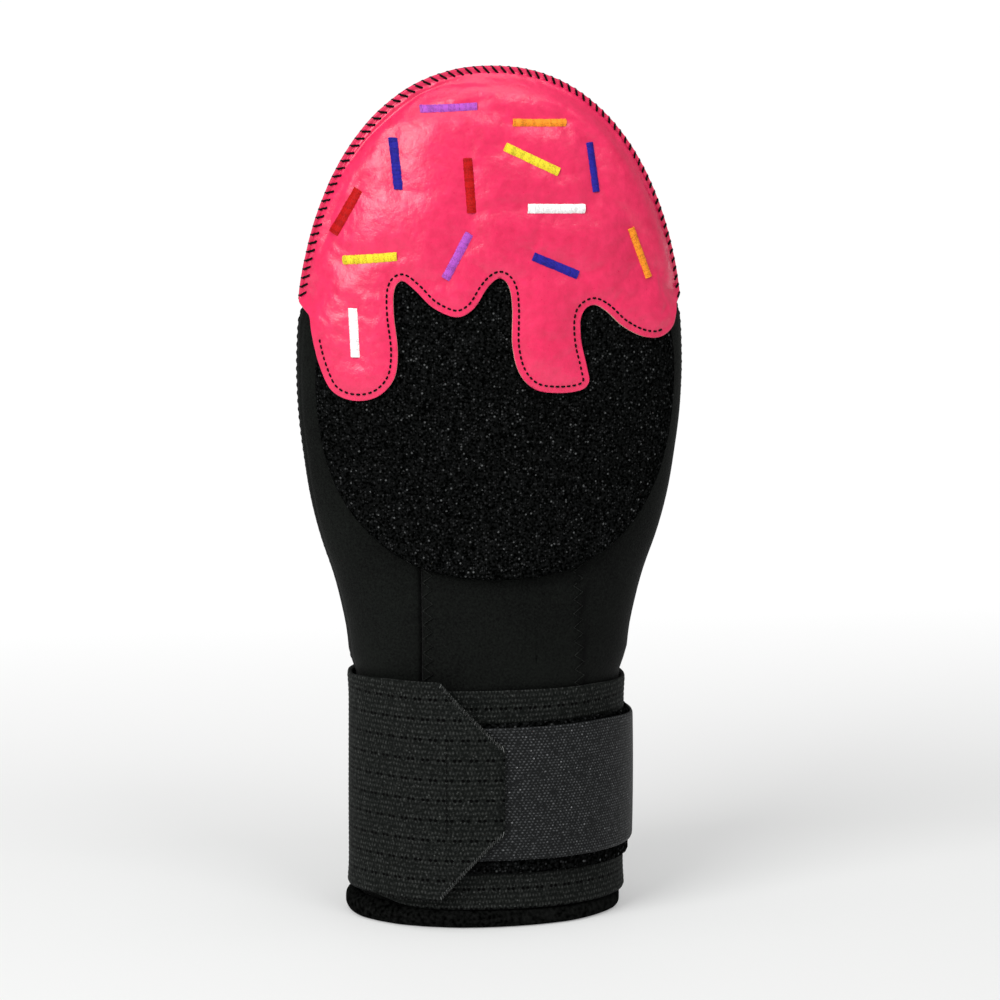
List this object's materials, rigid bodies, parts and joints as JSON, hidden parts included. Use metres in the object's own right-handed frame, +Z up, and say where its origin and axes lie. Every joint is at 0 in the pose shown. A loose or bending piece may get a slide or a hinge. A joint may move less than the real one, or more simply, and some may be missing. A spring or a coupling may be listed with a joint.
{
  "type": "baseball sliding glove",
  "caption": "Padded mitt for sliding into a base: hollow black body with a leather-covered tip, raised pile pad and a wide wrapped elastic wrist strap.",
  "frame": {"origin": "on the floor under the middle of the whole object, which stands on its cuff", "axes": "+Z up towards the tip, -Y out of the front with the drip edge, +X to the viewer's right"},
  "size_m": [0.1388, 0.0764, 0.305],
  "materials": {
    "black_fabric": "fine black jersey on neoprene foam",
    "black_pile": "short black loop pile",
    "pink_leather": "smooth soft faux leather with a low sheen",
    "elastic": "ribbed dark grey elastic",
    "hook_tape": "grey twill tape with a light sheen",
    "purple_thread": "glossy embroidery thread",
    "orange_thread": "glossy embroidery thread",
    "blue_thread": "glossy embroidery thread",
    "yellow_thread": "glossy embroidery thread",
    "red_thread": "glossy embroidery thread",
    "white_thread": "glossy embroidery thread"
  },
  "bodies": {
    "root": {"back_panel": "black_fabric", "front_left_panel": "black_fabric", "front_centre_panel": "black_fabric", "front_right_panel": "black_fabric", "cuff_lip": "black_fabric", "loop_pad": "black_pile", "leather_front_cap": "pink_leather", "leather_back_cap": "pink_leather", "elastic_strap": "elastic", "loop_strip": "black_pile", "hook_tape": "hook_tape", "bar_purple_top": "purple_thread", "bar_orange_top": "orange_thread", "bar_blue_left": "blue_thread", "bar_blue_right": "blue_thread", "bar_yellow_top": "yellow_thread", "bar_red_middle": "red_thread", "bar_red_left": "red_thread", "bar_white_right": "white_thread", "bar_yellow_left": "yellow_thread", "bar_purple_low": "purple_thread", "bar_blue_low": "blue_thread", "bar_orange_right": "orange_thread", "bar_white_drip": "white_thread"}
  },
  "joints": []
}
